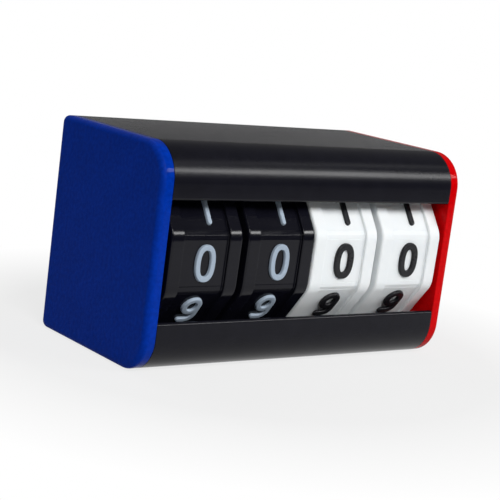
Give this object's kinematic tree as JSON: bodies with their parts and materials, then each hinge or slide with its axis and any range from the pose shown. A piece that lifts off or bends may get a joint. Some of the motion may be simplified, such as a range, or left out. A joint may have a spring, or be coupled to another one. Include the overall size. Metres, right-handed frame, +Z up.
{
  "type": "tabletop scoreboard",
  "caption": "Tabletop score counter: a black C-section housing with coloured end caps and ten-sided number wheels on an axle, turned with a finger through the front window.",
  "frame": {"origin": "centre of the flat base, at the bottom", "axes": "+Z up, +X along the axle towards the red end cap, -Y out of the front window"},
  "size_m": [0.1, 0.0496, 0.0575],
  "materials": {
    "housing_metal": "black anodised, satin",
    "blue_cap": "blue plastic, finely textured matte",
    "red_cap": "red plastic, finely textured matte",
    "axle_steel": "bright drawn steel",
    "black_wheel": "black plastic, satin, with pale grey digits",
    "white_wheel": "white plastic, satin, with black digits",
    "spring_steel": "rolled spring steel",
    "nylon": "natural nylon"
  },
  "bodies": {
    "housing": {"housing_profile": "housing_metal", "left_end_cap": "blue_cap", "right_end_cap": "red_cap", "axle": "axle_steel", "detent_spring_1": "spring_steel", "detent_spring_2": "spring_steel", "detent_spring_3": "spring_steel", "detent_spring_4": "spring_steel", "spacer_sleeve_1": "nylon", "spacer_sleeve_2": "nylon", "spacer_sleeve_3": "nylon", "end_washer": "nylon", "wave_washer": "spring_steel"},
    "wheel_1": {"number_wheel_1": "black_wheel"},
    "wheel_2": {"number_wheel_2": "black_wheel"},
    "wheel_3": {"number_wheel_3": "white_wheel"},
    "wheel_4": {"number_wheel_4": "white_wheel"}
  },
  "joints": [
    {"name": "wheel_1_turn", "type": "hinge", "parent": "housing", "child": "wheel_1", "pos_m": [-0.0342, -0.00167, 0.0286], "axis": [1, 0, 0], "continuous": true, "deforming": ["detent_spring_1"]},
    {"name": "wheel_2_turn", "type": "hinge", "parent": "housing", "child": "wheel_2", "pos_m": [-0.0107, -0.00167, 0.0286], "axis": [1, 0, 0], "continuous": true, "deforming": ["detent_spring_2"]},
    {"name": "wheel_3_turn", "type": "hinge", "parent": "housing", "child": "wheel_3", "pos_m": [0.0113, -0.00167, 0.0286], "axis": [1, 0, 0], "continuous": true, "deforming": ["detent_spring_3"]},
    {"name": "wheel_4_turn", "type": "hinge", "parent": "housing", "child": "wheel_4", "pos_m": [0.0348, -0.00167, 0.0286], "axis": [1, 0, 0], "continuous": true, "deforming": ["detent_spring_4"]}
  ]
}
